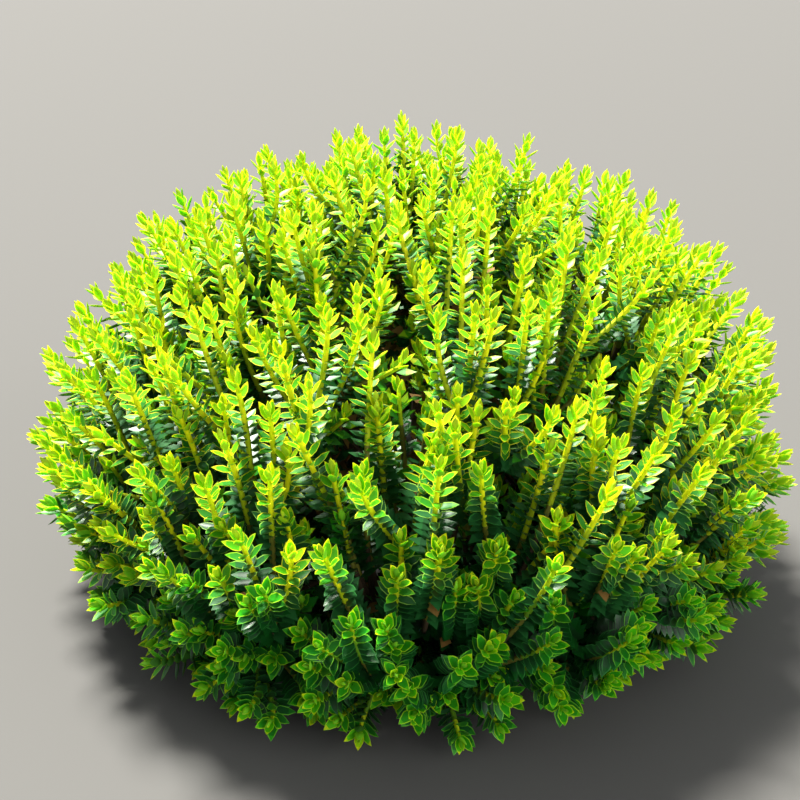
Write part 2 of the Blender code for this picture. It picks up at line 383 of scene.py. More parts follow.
# Plain base colours: what has a place on the plant is dealt out by leaf and by shoot. Each has
# its roughness, its coat and how strongly light passes into it.
tints = {
    "lemon": ((0.78, 0.78, 0.004), 0.55, 0.0, 0.8),
    "citron": ((0.68, 0.74, 0.004), 0.52, 0.0, 0.8),
    "lime": ((0.46, 0.65, 0.004), 0.50, 0.0, 0.7),
    "young": ((0.26, 0.52, 0.004), 0.46, 0.0, 0.6),
    "fresh": ((0.13, 0.44, 0.004), 0.42, 0.0, 0.5),
    "leafy": ((0.056, 0.28, 0.006), 0.40, 0.0, 0.4),
    "green": ((0.022, 0.18, 0.010), 0.42, 0.06, 0.2),
    "deep": ((0.012, 0.095, 0.020), 0.44, 0.10, 0.0),
    "dark": ((0.006, 0.055, 0.012), 0.45, 0.06, 0.0),
    # darker, less yellow copies of the leaf tints for shoots in shade: painted shade, along with the
    # deeper green of shade-grown leaves
    "paintedShadePale": ((0.080, 0.44, 0.006), 0.42, 0.0, 0.6),
    "paintedShadeLeaf": ((0.024, 0.27, 0.008), 0.40, 0.0, 0.4),
    "paintedShadeGreen": ((0.009, 0.145, 0.008), 0.40, 0.0, 0.3),
    "paintedShadeDeep": ((0.005, 0.070, 0.010), 0.36, 0.1, 0.1),
    "edgeLemon": ((0.84, 0.88, 0.012), 0.55, 0.0, 0.7),
    "edgeLime": ((0.56, 0.74, 0.014), 0.50, 0.0, 0.5),
    "edgeFresh": ((0.24, 0.50, 0.014), 0.46, 0.0, 0.2),
    "edgePale": ((0.26, 0.52, 0.070), 0.46, 0.0, 0.0),
    # edges for shoots in shade: painted shade, along with the greener edges of shade-grown leaves
    "paintedShadeEdgeBright": ((0.34, 0.78, 0.016), 0.46, 0.0, 0.5),
    "paintedShadeEdge": ((0.13, 0.52, 0.026), 0.46, 0.0, 0.3),
    "edgeDim": ((0.030, 0.20, 0.034), 0.46, 0.0, 0.0),
    "underYoung": ((0.34, 0.54, 0.012), 0.55, 0.0, 0.6),
    # the underside for shoots in shade: painted shade, along with the greener undersides of
    # shade-grown leaves
    "paintedShadeUnder": ((0.16, 0.46, 0.014), 0.55, 0.0, 0.5),
    "under": ((0.055, 0.20, 0.024), 0.55, 0.0, 0.1),
    "withered": ((0.24, 0.13, 0.030), 0.75, 0.0, 0.0),
    "stemLemon": ((0.74, 0.74, 0.006), 0.50, 0.0, 0.3),
    "stemLime": ((0.44, 0.54, 0.008), 0.50, 0.0, 0.2),
    "stemGreen": ((0.13, 0.30, 0.010), 0.50, 0.0, 0.1),
    "stemOlive": ((0.15, 0.15, 0.016), 0.55, 0.0, 0.0),
    "stemBrown": ((0.060, 0.038, 0.020), 0.65, 0.0, 0.0),
}
palette = list(tints)
leafFinish = {
    "coatRoughness": 0.20,
    "specular": 0.22,
    "oldSpecular": 0.32,  # of the tints that no light passes into
    "passingRadius": (0.6, 1.0, 0.05),
    "passingScale": 0.002,
}


def tintSurface(name):
    colour, roughness, coat, passing = tints[name]
    surface = Surface(
        name,
        baseColor=(*colour, 1),
        roughness=roughness,
        coatWeight=coat,
        coatRoughness=leafFinish["coatRoughness"],
        specularIorLevel=leafFinish["specular" if passing else "oldSpecular"],
        subsurfaceWeight=passing,
        subsurfaceRadius=leafFinish["passingRadius"],
        subsurfaceScale=leafFinish["passingScale"],
    )
    return surface.material


materials = [tintSurface(name) for name in palette]

# Leaves by age, in the sun, in half shade and in shade: the tint of the short stalk, the blade
# and its point, of the edge and of the underside. The last row is a dry leaf. The half shade and
# shade rows are darker, greener copies: painted shade, along with the deeper green of shade-grown
# leaves.
sunnyAges = (
    ("lemon", "citron", "lemon", "edgeLemon", "underYoung"),
    ("citron", "young", "citron", "edgeLemon", "underYoung"),
    ("citron", "fresh", "lime", "edgeLemon", "underYoung"),
    ("lime", "leafy", "young", "edgeLemon", "underYoung"),
    ("lime", "green", "leafy", "edgeLemon", "under"),
    ("young", "green", "green", "edgeLemon", "under"),
    ("fresh", "deep", "green", "edgePale", "under"),
    ("leafy", "deep", "deep", "edgePale", "under"),
    ("withered", "withered", "withered", "withered", "withered"),
)
halfShadeGrownPaintedShadeAges = (
    ("lime", "young", "lemon", "edgeLemon", "underYoung"),
    ("lime", "fresh", "lime", "edgeLemon", "paintedShadeUnder"),
    ("young", "leafy", "young", "edgeLime", "paintedShadeUnder"),
    ("fresh", "leafy", "fresh", "edgeLime", "under"),
    ("leafy", "green", "leafy", "edgeFresh", "under"),
    ("green", "deep", "green", "edgePale", "under"),
    ("green", "deep", "deep", "edgePale", "under"),
    ("deep", "dark", "deep", "edgeDim", "under"),
    ("withered", "withered", "withered", "withered", "withered"),
)
shadeGrownPaintedShadeAges = (
    ("paintedShadePale", "young", "lime", "edgeLime", "paintedShadeUnder"),
    ("paintedShadePale", "paintedShadePale", "lime", "paintedShadeEdgeBright", "paintedShadeUnder"),
    ("paintedShadePale", "paintedShadeLeaf", "paintedShadePale", "paintedShadeEdgeBright", "under"),
    ("paintedShadeLeaf", "paintedShadeGreen", "paintedShadeLeaf", "paintedShadeEdge", "under"),
    ("paintedShadeLeaf", "paintedShadeGreen", "paintedShadeGreen", "paintedShadeEdge", "under"),
    ("paintedShadeGreen", "paintedShadeDeep", "paintedShadeGreen", "paintedShadeEdge", "under"),
    ("paintedShadeGreen", "paintedShadeDeep", "paintedShadeDeep", "edgeDim", "under"),
    ("paintedShadeDeep", "dark", "paintedShadeDeep", "edgeDim", "under"),
    ("withered", "withered", "withered", "withered", "withered"),
)
# stems by age in the sun and in shade; the shade ones are greener and darker sooner: painted shade,
# along with the greener stems of shade-grown shoots
sunnyStems = ("stemLemon", "stemLime", "stemOlive", "stemBrown")
shadeGrownPaintedShadeStems = ("stemLime", "stemGreen", "stemOlive", "stemBrown")
ageRows = sunnyAges + halfShadeGrownPaintedShadeAges + shadeGrownPaintedShadeAges
ageTable = np.array([[palette.index(name) for name in row] for row in ageRows])
witheredAge = len(sunnyAges) - 1

leafRule = {
    # by the height of the shoot's tip: the length and width of a grown leaf
    "heights": (0.07, 0.17, 0.29),
    "length": (0.0140, 0.0133, 0.0112),
    "width": (0.0070, 0.0067, 0.0055),
    "thickness": 0.0007,
    "fold": 0.22,  # how far the edges rise, as a share of the half width
    "edge": 0.17,  # the light edge, as a share of the half width
    "leastBlade": 0.6,  # but the blade keeps this share of it
    # by pair down from the tip, and the last value holds on: length, width, opening, inward curl
    "lengths": (0.80, 0.92, 1.0, 1.02, 1.0),
    "widths": (0.66, 0.86, 0.96, 1.0),
    "openings": (5, 24, 38, 49, 56, 61, 65, 68, 71, 73, 75),
    "curls": (0.12, 0.12, 0.11, 0.09, 0.07, 0.05, 0.03),
    "facingLight": 0.35,  # how far a blade rolls to face up and out
    "seed": 23,
    # from pair to pair down from the tip, in the sun, in shade, on inner shoots and on old wood
    "firstNode": 0.0052,
    "sunnySteps": (
        0.0017, 0.0025, 0.0035, 0.0044, 0.0049, 0.0048, 0.0045, 0.0040, 0.0035, 0.0030, 0.0027,
    ),
    "shadySteps": (0.0013, 0.0016, 0.0019, 0.0021, 0.0023),
    "innerSteps": (0.0020, 0.0030, 0.0042),
    "oldSteps": (0.0070,),
    "oldGrowth": 0.2,  # how much larger and how much further open the leaves on old wood are
    "oldOpening": 0.35,
    "sunnyPairs": 21,
    "shadyPairs": 26,
    "innerPairs": 11,
    "deepPairs": 10,
    "oldPairs": 17,
    "gradeEnds": (2, 6, 11),  # the pair down from the tip that each grade ends before
    "shadyGradeEnd": 4,  # so many pairs further in the shade
    "innerGradeEnd": 2,
    # half shade and full shade pick the darker tints, painted shade
    "zoneEnds": (0.22, 0.62),  # the shade that half shade and full shade begin at
    "paceHeights": (0.14, 0.28),
    "pace": (1.15, 1.9),  # pairs from one age to the next, by the height of the tip
    "youngerBy": 0.2,
    "innerAge": 1.0,  # ages that inner and old shoots are ahead
    "oldAge": 9,
    "witheredShare": 0.006,  # of the leaves further down than this many pairs
    "witheredAfter": 9,
    "oldWitheredShare": 0.30,
    "sink": 0.6,  # how deep the foot lies in the stem, as a share of its radius
    "clearance": 0.0012,  # no leaf comes nearer to the ground
    # how unlike each other they are
    "likeness": (0.9, 1.1),  # steps and openings, as shares
    "closeLikeness": (0.93, 1.07),  # sizes, and the openings of the two leaves of a pair
    "turnSpread": 0.07,
    "ageSpread": 0.35,
    "zoneSpread": 0.12,
    "curlSpread": 0.02,
}

# outlines of four grades, the finest for the tips: places along the leaf, the half width
# there, and whether it has the light edge
leafGrades = (
    {"along": (0.12, 0.33, 0.57, 0.80), "wide": (0.58, 0.95, 0.94, 0.54), "edged": True},
    {"along": (0.18, 0.47, 0.76), "wide": (0.70, 1.0, 0.62), "edged": True},
    {"along": (0.28, 0.66), "wide": (0.94, 0.82), "edged": True},
    {"along": (0.48,), "wide": (1.08,), "edged": False},
)


# a value for each pair from a short list whose last value holds on
def held(values, count):
    return np.array([values[min(k, len(values) - 1)] for k in range(count)])


# The faces of one leaf: a top of strips, the outer two of them the light edges, and a keeled
# underside of two, each drawn together in a point at the leaf's foot and at its tip. Each face
# has its zone: 0 the stalk, 1 the blade, 2 its point, 3 the edge and 4 the underside.
def leafTemplate(grade):
    rows = len(grade["along"])
    faces, zones, first = [], [], 0
    for columns, isTop in ((5 if grade["edged"] else 3, True), (3, False)):
        last = first + 1 + rows * columns
        grid = np.arange(first + 1, last).reshape(rows, columns)
        lines = [np.full(columns, first), *grid, np.full(columns, last)]
        for row in range(rows + 1):
            near, far = lines[row], lines[row + 1]
            blade = 2 if row == rows else int(row > 0 or rows < 3)
            for column in range(columns - 1):
                edge = columns == 5 and column in (0, 3)
                made = []
                if row < rows:
                    made.append((near[column], far[column], far[column + 1]))
                if row > 0:
                    made.append((near[column], far[column + 1], near[column + 1]))
                faces += made if isTop else [face[::-1] for face in made]
                zones += [(3 if edge else blade) if isTop else 4] * len(made)
        first = last + 1
    return np.array(faces), np.array(zones)


# Points of many leaves at once. Along the leaf a point goes forward, curls in by the square of
# its place, and rises with its distance from the midrib; the underside's middle is the keel.
def leafPoints(grade, leaves):
    along = np.array(grade["along"])
    wide = np.array(grade["wide"])
    inner = np.maximum(wide - leafRule["edge"], leafRule["leastBlade"] * wide)
    top = [-wide, -inner, 0 * wide, inner, wide] if grade["edged"] else [-wide, 0 * wide, wide]
    under = [-wide, 0 * wide, wide]
    u = np.concatenate([[0], np.repeat(along, len(top)), [1, 0], np.repeat(along, 3), [1]])
    v = np.concatenate([[0], np.stack(top, 1).ravel(), [0, 0], np.stack(under, 1).ravel(), [0]])
    keel = np.zeros_like(u)
    keel[len(along) * len(top) + 4 : -1 : 3] = 1.0  # the middle points of the underside
    length = leaves["length"][:, None]
    half = leaves["width"][:, None] / 2
    rise = length * leaves["curl"][:, None] * u**2 + leafRule["fold"] * half * np.abs(v)
    rise = rise - keel * leafRule["thickness"]
    points = leaves["foot"][:, None] + (length * u)[..., None] * leaves["ahead"][:, None]
    points = points + (half * v)[..., None] * leaves["across"][:, None]
    return points + rise[..., None] * leaves["upper"][:, None]


# Every leaf of every shoot, pair by pair, as arrays of feet, directions, sizes and ages. Each
# pair stands square to the last. A leaf leans out from the stem's heading by its opening, and its
# upper side rolls from the tip towards the light.
def growLeaves():
    rule = leafRule
    dice = np.random.default_rng(rule["seed"])
    pairs = max(rule["sunnyPairs"], rule["shadyPairs"])
    shade = shoots["shade"][:, None]
    rank = shoots["rank"][:, None]
    steps = (1 - shade) * held(rule["sunnySteps"], pairs)
    steps = steps + shade * held(rule["shadySteps"], pairs)
    steps = np.where(rank == 1, held(rule["innerSteps"], pairs), steps)
    steps = np.where(rank > 1, held(rule["oldSteps"], pairs), steps)
    steps = steps * shoots["vigour"][:, None] * dice.uniform(*rule["likeness"], steps.shape)
    below = rule["firstNode"] + np.cumsum(steps, axis=1) - steps[:, :1]
    foot, ahead = alongShoots(below)
    first, second = crossFrame(ahead)
    turn = shoots["phase"][:, None] + np.arange(pairs) * math.pi / 2
    turn = turn + dice.normal(0, rule["turnSpread"], turn.shape)
    out = np.cos(turn)[..., None] * first + np.sin(turn)[..., None] * second
    opening = np.radians(held(rule["openings"], pairs))
    opening = opening * dice.uniform(*rule["likeness"], turn.shape)
    last = (1 - shade) * rule["sunnyPairs"] + shade * rule["shadyPairs"]
    for k, kind in enumerate(("inner", "deep", "old")):
        last = np.where(rank == k + 1, rule[kind + "Pairs"], last)
    order = np.broadcast_to(np.arange(pairs), turn.shape)
    opening = opening + rule["oldOpening"] * (rank > 1)
    height = shoots["curve"][:, :1, 2]
    age = order / np.interp(height, rule["paceHeights"], rule["pace"])
    age = age + dice.normal(0, rule["ageSpread"], turn.shape)
    age = age + rule["innerAge"] * (rank == 1) + rule["oldAge"] * (rank > 1)
    age = np.clip(np.round(age - rule["youngerBy"]), 0, witheredAge - 1).astype(int)
    dry = rule["witheredShare"] * (order > rule["witheredAfter"])
    dry = dry + rule["oldWitheredShare"] * (rank > 1)
    age[dice.random(turn.shape) < dry] = witheredAge
    # the shade picks one of three tables, sun, half shade and shade; the darker two are painted shade,
    # along with the deeper green of shade-grown leaves
    zone = np.digitize(shade + rule["zoneSpread"] * dice.normal(size=shade.shape), rule["zoneEnds"])
    age = age + len(sunnyAges) * zone
    size = dice.uniform(*rule["closeLikeness"], turn.shape) * (1 + rule["oldGrowth"] * (rank > 1))
    length = size * held(rule["lengths"], pairs) * np.interp(height, rule["heights"], rule["length"])
    width = size * held(rule["widths"], pairs) * np.interp(height, rule["heights"], rule["width"])
    light = unit(shoots["curve"][:, :1] - crown["fork"]) + up
    firstEnd, secondEnd, thirdEnd = rule["gradeEnds"]
    coarsest = len(leafGrades) - 1
    grade = 1 * (order >= firstEnd) + (order >= secondEnd)
    grade = grade + (order >= thirdEnd + rule["shadyGradeEnd"] * shade)
    grade = np.where(rank == 1, coarsest - (order < rule["innerGradeEnd"]), grade)
    grade = np.where(rank > 1, coarsest, grade)
    radius = stemRadius(below)
    kept = (order < last) & (below < shoots["distance"][:, -1:])
    sides = []
    for sign in (1, -1):
        away = sign * out
        lean = opening * dice.uniform(*rule["closeLikeness"], opening.shape)
        forward = np.cos(lean)[..., None] * ahead + np.sin(lean)[..., None] * away
        upper = np.sin(lean)[..., None] * ahead - np.cos(lean)[..., None] * away
        sidelight = light - np.sum(light * forward, axis=-1, keepdims=True) * forward
        upper = unit(upper + rule["facingLight"] * sidelight)
        leaf = {
            "foot": foot + (radius * (1 - rule["sink"]))[..., None] * away,
            "ahead": forward,
            "across": np.cross(upper, forward),
            "upper": upper,
            "length": length,
            "width": width,
            "curl": held(rule["curls"], pairs) + dice.normal(0, rule["curlSpread"], turn.shape),
            "age": age,
            "grade": grade,
            "mass": np.broadcast_to(shoots["mass"][:, None], turn.shape),
        }
        sides.append({key: value[kept] for key, value in leaf.items()})
    return joined(sides)


stem = {"tipRadius": 0.0004, "thicker": 0.0014, "run": 0.010}


# the green stem's radius at a distance from the tip: it thickens fast at first, then levels off
def stemRadius(below):
    return stem["tipRadius"] + stem["thicker"] * (1 - np.exp(-below / stem["run"]))


# one mesh from arrays of points and of faces that all have as many corners
def addMesh(name, points, faces, slots, slotMaterials, smooth=True):
    data = bpy.data.meshes.new(name)
    data.vertices.add(len(points))
    data.vertices.foreach_set("co", np.ascontiguousarray(points, np.float32).ravel())
    data.loops.add(faces.size)
    data.loops.foreach_set("vertex_index", np.ascontiguousarray(faces, np.int32).ravel())
    data.polygons.add(len(faces))
    starts = np.arange(0, faces.size, faces.shape[1], dtype=np.int32)
    data.polygons.foreach_set("loop_start", starts)
    data.polygons.foreach_set("material_index", np.ascontiguousarray(slots, np.int32))
    data.polygons.foreach_set("use_smooth", np.full(len(faces), smooth))
    for material in slotMaterials:
        data.materials.append(material)
    data.update(calc_edges=True)
    data.validate()
    made = bpy.data.objects.new(name, data)
    bpy.context.scene.collection.objects.link(made)
    return made


# only the palette's tints that these faces wear, with the faces' slots counted over
def wornTints(slots):
    worn, counted = np.unique(slots, return_inverse=True)
    return counted.reshape(-1), [materials[k] for k in worn]


# all leaves of one mass, grade by grade, each corner from its own leaf's rule
def leafPiece(name, leaves):
    points, faces, slots, first = [], [], [], 0
    for k, grade in enumerate(leafGrades):
        chosen = {key: value[leaves["grade"] == k] for key, value in leaves.items()}
        place = leafPoints(grade, chosen)
        clear = place[..., 2].min(axis=1) > leafRule["clearance"]
        place, age = place[clear], chosen["age"][clear]
        template, zones = leafTemplate(grade)
        count, corners = place.shape[:2]
        offsets = first + corners * np.arange(count)[:, None, None]
        faces.append((template[None] + offsets).reshape(-1, 3))
        slots.append(ageTable[age][:, zones].ravel())
        points.append(place.reshape(-1, 3))
        first += count * corners
    counted, worn = wornTints(np.concatenate(slots))
    return addMesh(name, np.concatenate(points), np.concatenate(faces), counted, worn)


# quads of tubes laid side by side: rings of points, one tube after another, capped at both ends
def tubeFaces(tubes, rings, sides, capped=True):
    ring = np.arange(rings - 1)[:, None] * sides
    side = np.arange(sides)[None, :]
    beside = (side + 1) % sides
    corners = (ring + side, ring + beside, ring + sides + beside, ring + sides + side)
    one = np.stack(corners, axis=-1).reshape(-1, 4)
    if capped:
        k = np.arange(1, sides - 2, 2)
        cap = np.stack([0 * k, k, k + 1, k + 2], axis=1)
        one = np.concatenate([cap[:, ::-1], one, cap + (rings - 1) * sides])
    return (np.arange(tubes)[:, None, None] * rings * sides + one).reshape(-1, 4)


# rings round each place, at its radius: the cosine one way across the heading, the sine the other
def tubePoints(places, ahead, radius, sides):
    first, second = (side[..., None, :] for side in crossFrame(ahead))
    turn = (np.arange(sides) * 2 * math.pi / sides)[:, None]
    ring = np.cos(turn) * first + np.sin(turn) * second
    return places[..., None, :] + radius[..., None, None] * ring


twigRule = {
    "outerStations": (0.0012, 0.005, 0.012, 0.022, 0.034, 0.048, 0.066),  # rings, from the tip
    "stationShare": 0.8,  # they keep to this share of a short shoot
    "lastStations": (0.3, 0.65, 1.0),  # shares of what is left, down to the fork
    "sides": 6,
    "hiddenStations": (0.0012, 0.010, 0.030),
    "hiddenSides": 4,
    "stageEnds": (0.038, 0.060, 0.085),  # where a stem turns greener, olive and brown
    "shadeAge": 0.6,  # how much sooner in the shade
    "rankAge": (0, 0.03, 0.2, 0.2),  # and how much further along the inner and old ones are
    "shadyFrom": 0.5,
    "branchRings": 8,
    "branchRadii": (0.0021, 0.0017),
    "stemRadii": (0.0034, 0.0022),
    "overlap": 0.002,  # how far a mass's stem reaches into its bough
}


# green stems of the shoots, from their tips to their forks
def shootTubes(chosen, stations, sides):
    rule = twigRule
    whole = shoots["distance"][:, -1:]
    near = np.array(stations) * np.minimum(1, rule["stationShare"] * whole / stations[-1])
    last = np.array(rule["lastStations"])
    below = np.concatenate([near, near[:, -1:] + (whole - near[:, -1:]) * last], axis=1)
    places, ahead = alongShoots(below)
    points = tubePoints(places, ahead, stemRadius(below), sides)[chosen]
    faces = tubeFaces(len(points), below.shape[1], sides)
    middle = (below[:, 1:] + below[:, :-1]) / 2
    shade = shoots["shade"][:, None]
    rankAge = np.array(rule["rankAge"])[shoots["rank"]][:, None]
    # in shade a stem darkens sooner and takes the shade stem tints: painted shade, along with the
    # greener stems of shade-grown shoots
    stages = np.digitize(middle * (1 + rule["shadeAge"] * shade) + rankAge, rule["stageEnds"])
    inSun = np.array([palette.index(name) for name in sunnyStems])[stages]
    paintedShadeStemSlots = np.array([palette.index(name) for name in shadeGrownPaintedShadeStems])[stages]
    slots = np.where(shade > rule["shadyFrom"], paintedShadeStemSlots, inSun)[chosen]
    slots = np.concatenate([slots[:, :1], slots, slots[:, -1:]], axis=1)
    caps = (sides - 2) // 2
    counts = [caps] + [sides] * (below.shape[1] - 1) + [caps]
    return points.reshape(-1, 3), faces[:, ::-1], np.repeat(slots, counts, axis=1).ravel()


branchEnds = shoots["forkAt"][shoots["rank"] == len(kinds)]


# brown branches, from the mass's stem to where their shoots fork, and that stem itself
def woodTubes(mass):
    rings, sides = twigRule["branchRings"], twigRule["sides"]
    t = np.linspace(0, 1, rings)
    chosen = branches["mass"] == mass
    places, ahead = alongBranches(branchEnds[chosen][:, None] * t, chosen)
    radius = np.broadcast_to(np.linspace(*twigRule["branchRadii"], rings), places.shape[:2])
    branchPoints = tubePoints(places, ahead, radius, sides)
    branchFaces = tubeFaces(len(places), rings, sides)
    start = crown["boughReach"] - twigRule["overlap"]
    run = np.linspace(start, crown["stemEnd"] * axisReach[mass], rings)
    stemPlaces = (crown["fork"] + run[:, None] * axes[mass])[None]
    stemAhead = np.broadcast_to(axes[mass], stemPlaces.shape)
    stemRadii = np.linspace(*twigRule["stemRadii"], rings)[None]
    stemPoints = tubePoints(stemPlaces, stemAhead, stemRadii, sides)
    stemFaces = tubeFaces(1, rings, sides) + branchPoints.size // 3
    points = np.concatenate([branchPoints.reshape(-1, 3), stemPoints.reshape(-1, 3)])
    return points, np.concatenate([branchFaces, stemFaces])


# all green and brown twigs of one mass
def twigPiece(name, mass):
    ours = shoots["mass"] == mass
    outer = shootTubes(ours & (shoots["rank"] == 0), twigRule["outerStations"], twigRule["sides"])
    behind = ours & ((shoots["rank"] == 1) | (shoots["rank"] == 2))
    hidden = shootTubes(behind, twigRule["hiddenStations"], twigRule["hiddenSides"])
    woodPoints, woodFaces = woodTubes(mass)
    wood = (woodPoints, woodFaces, np.full(len(woodFaces), palette.index("stemBrown")))
    points, faces, slots, first = [], [], [], 0
    for part in (outer, hidden, wood):
        points.append(part[0])
        faces.append(part[1] + first)
        slots.append(part[2])
        first += len(part[0])
    counted, worn = wornTints(np.concatenate(slots))
    return addMesh(name, np.concatenate(points), np.concatenate(faces), counted, worn)


leaves = growLeaves()
print("leaves:", len(leaves["age"]), "by grade:", np.bincount(leaves["grade"]))
triangles = 0
# each mass of foliage gives way to its leaves, with its twigs beside them
for k, massName in enumerate(massNames):
    ours = {key: value[leaves["mass"] == k] for key, value in leaves.items()}
    leafage = leafPiece(f"leaves_{massName}", ours)
    twigs = twigPiece(f"twigs_{massName}", k)
    for piece in (leafage, twigs):
        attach(piece, "root")
        piece.data.calc_loop_triangles()
        triangles += len(piece.data.loop_triangles)
    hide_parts(f"foliage_{massName}")
print("foliage triangles:", triangles)

# Bark: the relief is in the mesh, and the finest grain and the colour in the material
bark = {
    "ridgeDepth": 0.0009,
    "ridges": (5, 9, 14, 23),  # whole waves round the limb
    "ridgeShare": 1.1,
    "wander": 2.2,  # how far a ridge wanders round the limb, and how often along it
    "wanderWaves": (40, 90),
    "bandMean": 0.55,  # the bands that a ridge is broken into
    "bandDepth": 0.45,
    "bandWaves": (250, 420),
    "bandSlant": 3,
    "knotShare": 0.7,
    "knotSharpness": 8,
    "knotSpacing": 0.021,
    "crownSides": 96,
    "crownRings": 64,
    "boughSides": 28,
    "boughRings": 56,
    "neckRadius": 0.0135,
    "flareRadius": 0.025,
    "flareHeight": 0.006,
    "lobes": 5,
    "lobeDepth": 0.003,
    "joinSharpness": 8,
    "footLean": (0.003, 0.002, 0.0),
    "knotTop": 0.985,  # the crown's top, as a share of the knot's radius
    "fullRelief": 0.010,  # the relief is weaker where the radius is less
    "capRise": 0.0002,
    "crownSeed": 41,
    "boughSeed": 50,
    "boughStart": 0.7,  # how deep in the knot a bough starts, as a share of its radius
    "boughRelief": 0.5,
    "collarThickness": 0.0022,
    "collarRun": 0.008,
}


# Relief over an angle and a run: long ridges are waves round the limb that wander along it,
# each cut into lengths by slanting bands, and a swelling stands at every knot.
def barkRelief(angle, run, seed):
    dice = np.random.default_rng(seed)
    phases = (0, 6)  # nearly a whole turn
    relief = np.zeros(np.broadcast(angle, run).shape)
    for waves in bark["ridges"]:
        along = run * dice.uniform(*bark["wanderWaves"]) + dice.uniform(*phases)
        wander = bark["wander"] * np.sin(along)
        along = run * dice.uniform(*bark["bandWaves"])
        bands = np.sin(along + bark["bandSlant"] * np.sin(angle + dice.uniform(*phases)))
        broken = bark["bandMean"] + bark["bandDepth"] * bands
        ridge = np.sin(waves * angle + wander + dice.uniform(*phases))
        relief += ridge * broken / len(bark["ridges"])
    knots = np.cos(2 * math.pi * run / bark["knotSpacing"] + dice.uniform(*phases))
    knots = knots ** bark["knotSharpness"]
    return bark["ridgeDepth"] * (bark["ridgeShare"] * relief + bark["knotShare"] * knots)


# A grid of rings closed by a point at each end; quads between rings, triangles at the ends
def ringSurface(grid, ends):
    rings, sides = grid.shape[:2]
    points = np.concatenate([grid.reshape(-1, 3), ends])
    quads = tubeFaces(1, rings, sides, capped=False)
    side = np.arange(sides)
    beside = (side + 1) % sides
    foot = np.full(sides, rings * sides)
    last = (rings - 1) * sides
    footCap = np.stack([foot, beside, side], axis=1)
    topCap = np.stack([last + side, last + beside, foot + 1], axis=1)
    return points, np.concatenate([quads[:, [0, 1, 2]], quads[:, [0, 2, 3]], footCap, topCap])


# The rooted stem: below the fork its radius joins a neck that flares at the foot, with lobes, to
# the knot, a sphere, by the root of their powers' sum. Above, the knot closes it.
def barkCrown():
    angle = np.linspace(0, 2 * math.pi, bark["crownSides"], endpoint=False)[None]
    top = crown["fork"][2] + bark["knotTop"] * crown["knotRadius"]
    height = top * np.sin(np.linspace(0, math.pi / 2, bark["crownRings"]))[:, None]
    neck = bark["neckRadius"]
    neck = neck + (bark["flareRadius"] - neck) * np.exp(-height / bark["flareHeight"])
    rise = (height - crown["fork"][2]) / crown["knotRadius"]
    knot = crown["knotRadius"] * np.sqrt(np.maximum(0, 1 - rise**2))
    sharp = bark["joinSharpness"]
    merged = (neck**sharp + knot**sharp) ** (1 / sharp)
    radius = np.where(height > crown["fork"][2], knot, merged)
    low = np.maximum(0, 1 - height / crown["fork"][2])
    radius = radius + bark["lobeDepth"] * low**2 * np.cos(bark["lobes"] * angle)
    relief = barkRelief(angle, height, bark["crownSeed"])
    radius = radius + relief * np.minimum(1, radius / bark["fullRelief"])
    lean = low[..., None] * np.array(bark["footLean"])
    grid = toward(angle, 0 * angle) * radius[..., None] + height[..., None] * up + lean
    ends = np.array([bark["footLean"], (0, 0, top + bark["capRise"])])
    return ringSurface(grid, ends)


# A limb bowed as in the part, from inside the knot to the foot of its mass: its radius goes
# evenly from base to tip, with the relief, and a collar where it leaves the knot.
def barkBough(k):
    axis = axes[k]
    start = crown["fork"] + bark["boughStart"] * crown["knotRadius"] * axis
    end = crown["fork"] + crown["boughReach"] * axis
    bend = (start + end) / 2 - crown["boughSag"] * math.hypot(axis[0], axis[1]) * up
    t = np.linspace(0, 1, bark["boughRings"])
    places, ahead = quadratic(start, bend, end, t)
    first, second = (side[0][:, None] for side in crossFrame(ahead[None]))
    angle = np.linspace(0, 2 * math.pi, bark["boughSides"], endpoint=False)
    base, tip = crown["boughRadii"]
    run = (t * np.linalg.norm(end - start))[:, None]
    relief = bark["boughRelief"] * barkRelief(angle, run, bark["boughSeed"] + k)
    radius = base + (tip - base) * t[:, None] + relief
    radius = radius + bark["collarThickness"] * np.exp(-run / bark["collarRun"])
    ring = np.cos(angle)[:, None] * first + np.sin(angle)[:, None] * second
    grid = places[:, None] + radius[..., None] * ring
    return ringSurface(grid, np.stack([start, end]))


barkFinish = {
    "coarse": {"Scale": 190.0, "Detail": 6.0, "Roughness": 0.65},
    "grain": {"Scale": 900.0, "Detail": 3.0},
    "crackScale": 260.0,
    "coarseShare": 0.75,
    "grainShare": 0.25,
    "crackHeight": 0.4,
    "bump": {"Strength": 0.6, "Distance": 0.0006},
    "sheen": 0.35,  # how much smoother the raised places are
    "browns": (
        (0.30, (0.030, 0.020, 0.013)),
        (0.48, (0.110, 0.072, 0.045)),
        (0.68, (0.260, 0.200, 0.145)),
    ),
}


# weathered bark: coarse and fine noise make the tone, and cracks run between the raised places
def barkSurface():
    finish = barkFinish
    surface = Surface("bark")
    place = surface.node("TexCoord", 3)  # Object coordinates
    coarse = surface.node("TexNoise", Vector=place, **finish["coarse"])
    grain = surface.node("TexNoise", Vector=place, **finish["grain"])
    toEdge = {"feature": "DISTANCE_TO_EDGE"}
    cracks = surface.node("TexVoronoi", settings=toEdge, Vector=place, Scale=finish["crackScale"])
    tone = coarse * finish["coarseShare"] + grain * finish["grainShare"]
    height = tone + finish["crackHeight"] * cracks
    bump = surface.node("Bump", Height=height, **finish["bump"])
    colour = surface.node("ValToRGB", stops=finish["browns"], Fac=tone)
    surface.set(baseColor=colour, normal=bump, roughness=1 - finish["sheen"] * tone)
    return surface.material


